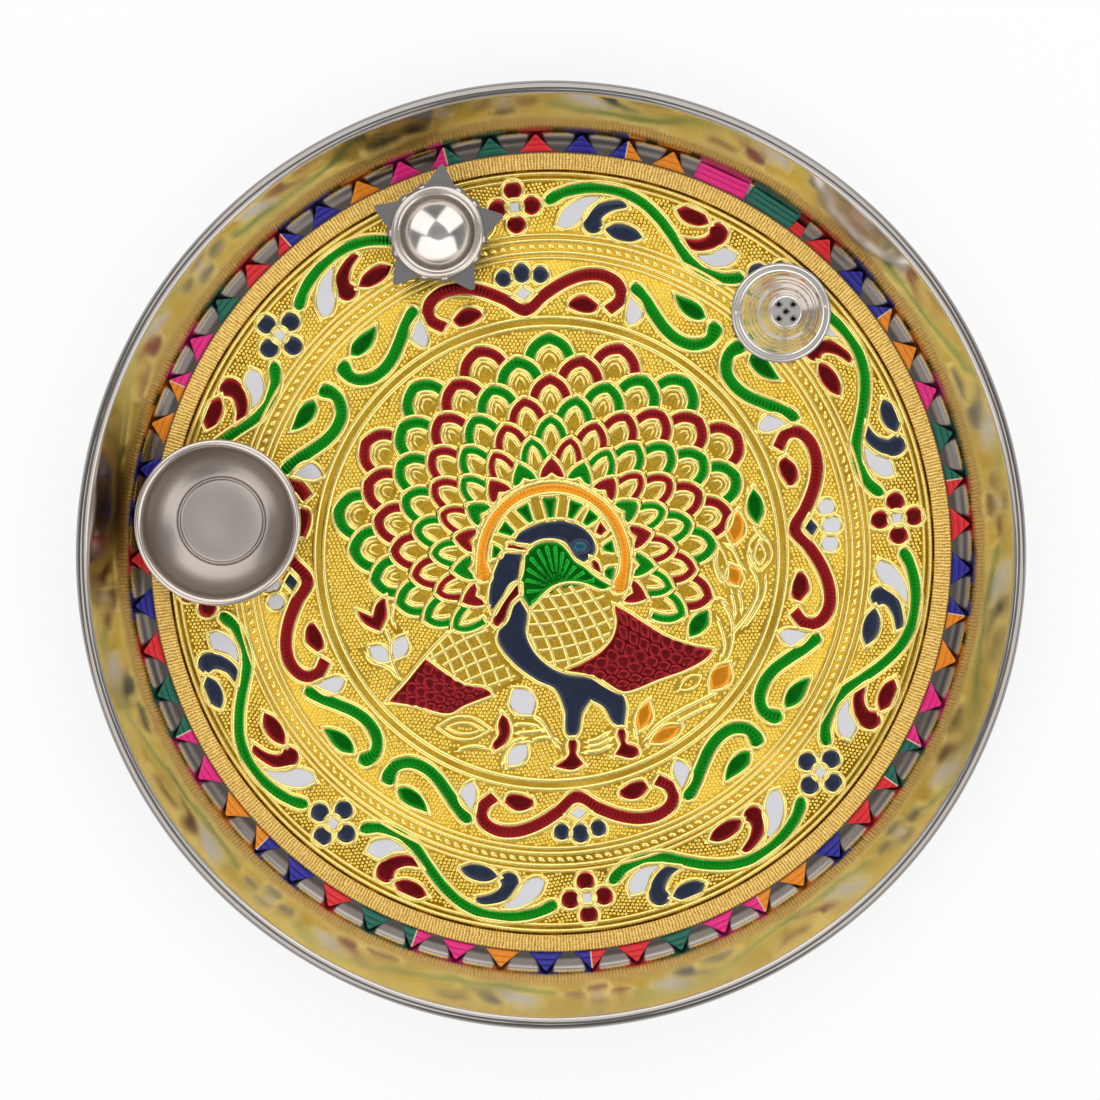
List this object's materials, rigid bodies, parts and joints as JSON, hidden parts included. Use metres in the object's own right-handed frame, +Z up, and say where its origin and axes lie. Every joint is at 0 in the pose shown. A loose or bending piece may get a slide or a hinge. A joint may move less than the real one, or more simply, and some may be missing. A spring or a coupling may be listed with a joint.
{
  "type": "puja thali",
  "caption": "Round steel puja thali with a rolled rim, an enamelled peacock disc, a ribbon lace border, and a loose katori bowl, star-collared diya and stepped incense holder.",
  "frame": {"origin": "middle of the tray's flat underside", "axes": "+Z up out of the tray; +Y towards the peacock's tail; +X the way the bird looks"},
  "size_m": [0.3, 0.3, 0.0265],
  "materials": {
    "polished_steel": "mirror-polished stainless steel",
    "satin_steel": "satin stainless steel with faint turning marks",
    "gold_foil": "gold-lacquered foil, embossed with stipple, ribs and raised outlines",
    "green_enamel": "glossy translucent enamel over ribbed foil",
    "maroon_enamel": "glossy translucent enamel over ribbed foil",
    "navy_enamel": "glossy dark enamel",
    "white_enamel": "glossy opaque enamel",
    "orange_enamel": "glossy opaque enamel",
    "gold_braid": "woven metallic braid with fine cross ribs",
    "satin_ribbon": "satin ribbon in red, green, pink, orange and blue lengths"
  },
  "bodies": {
    "thali": {"plate": "polished_steel", "foil_disc": "gold_foil", "enamel_green": "green_enamel", "enamel_maroon": "maroon_enamel", "enamel_navy": "navy_enamel", "enamel_white": "white_enamel", "enamel_orange": "orange_enamel", "lace_braid": "gold_braid", "lace_points": "satin_ribbon", "lace_flaps": "satin_ribbon"},
    "katori": {"katori": "satin_steel"},
    "diya": {"diya_cup": "polished_steel", "diya_petals": "satin_steel"},
    "incense_holder": {"incense_dome": "polished_steel", "incense_base": "satin_steel"}
  },
  "joints": [
    {"name": "katori_lift", "type": "slide", "parent": "thali", "child": "katori", "axis": [0, 0, 1], "range_m": [0, 0.06]},
    {"name": "diya_lift", "type": "slide", "parent": "thali", "child": "diya", "axis": [0, 0, 1], "range_m": [0, 0.06]},
    {"name": "incense_holder_lift", "type": "slide", "parent": "thali", "child": "incense_holder", "axis": [0, 0, 1], "range_m": [0, 0.06]}
  ]
}
